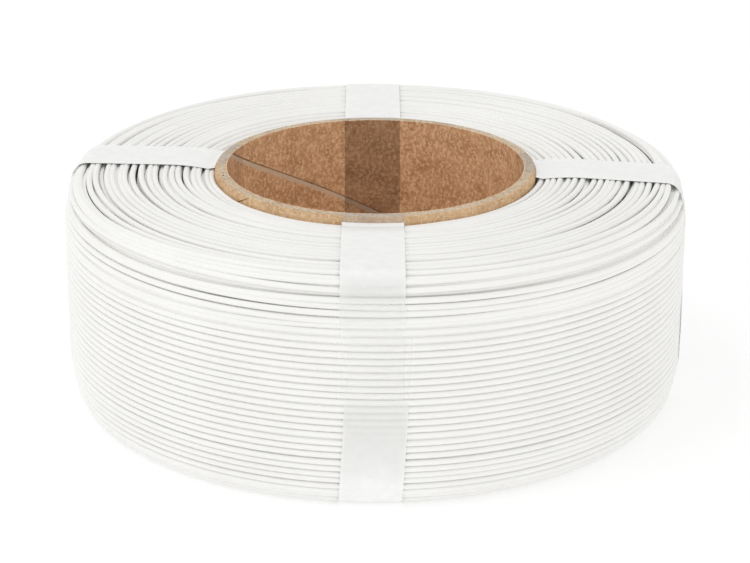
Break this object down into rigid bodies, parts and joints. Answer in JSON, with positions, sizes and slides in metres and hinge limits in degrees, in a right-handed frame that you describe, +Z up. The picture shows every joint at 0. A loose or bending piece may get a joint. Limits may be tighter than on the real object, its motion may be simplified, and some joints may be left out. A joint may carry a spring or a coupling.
{
  "type": "filament refill coil",
  "caption": "Flangeless coil of white 3-D printer filament wound on a cardboard core and held by clear tape straps.",
  "frame": {"origin": "centre of the coil's lower side, on the bore's axis, at the level of the straps' undersides", "axes": "+Z up along the bore's axis; -Y towards the front strap; +X towards the right-hand strap"},
  "size_m": [0.1804, 0.1804, 0.067],
  "materials": {
    "kraft_card": "matt kraft paper",
    "grey_card": "matt chipboard",
    "filament": "satin extruded thermoplastic",
    "tape": "clear adhesive tape"
  },
  "bodies": {
    "root": {"core_liner_ply": "kraft_card", "core_body_ply_1": "grey_card", "core_body_ply_2": "grey_card", "core_body_ply_3": "grey_card", "core_body_ply_4": "grey_card", "core_body_ply_5": "kraft_card", "core_outer_ply": "kraft_card", "filament_layer_01": "filament", "filament_layer_02": "filament", "filament_layer_03": "filament", "filament_layer_04": "filament", "filament_layer_05": "filament", "filament_layer_06": "filament", "filament_layer_07": "filament", "filament_layer_08": "filament", "filament_layer_09": "filament", "filament_layer_10": "filament", "filament_layer_11": "filament", "filament_layer_12": "filament", "filament_layer_13": "filament", "filament_layer_14": "filament", "filament_layer_15": "filament", "filament_layer_16": "filament", "filament_layer_17": "filament", "filament_layer_18": "filament", "filament_layer_19": "filament", "filament_layer_20": "filament", "filament_layer_21": "filament", "filament_layer_22": "filament", "filament_layer_23": "filament", "filament_layer_24": "filament", "filament_layer_25": "filament", "filament_layer_26": "filament", "strap_front": "tape", "strap_right": "tape", "strap_back": "tape", "strap_left": "tape"}
  },
  "joints": []
}
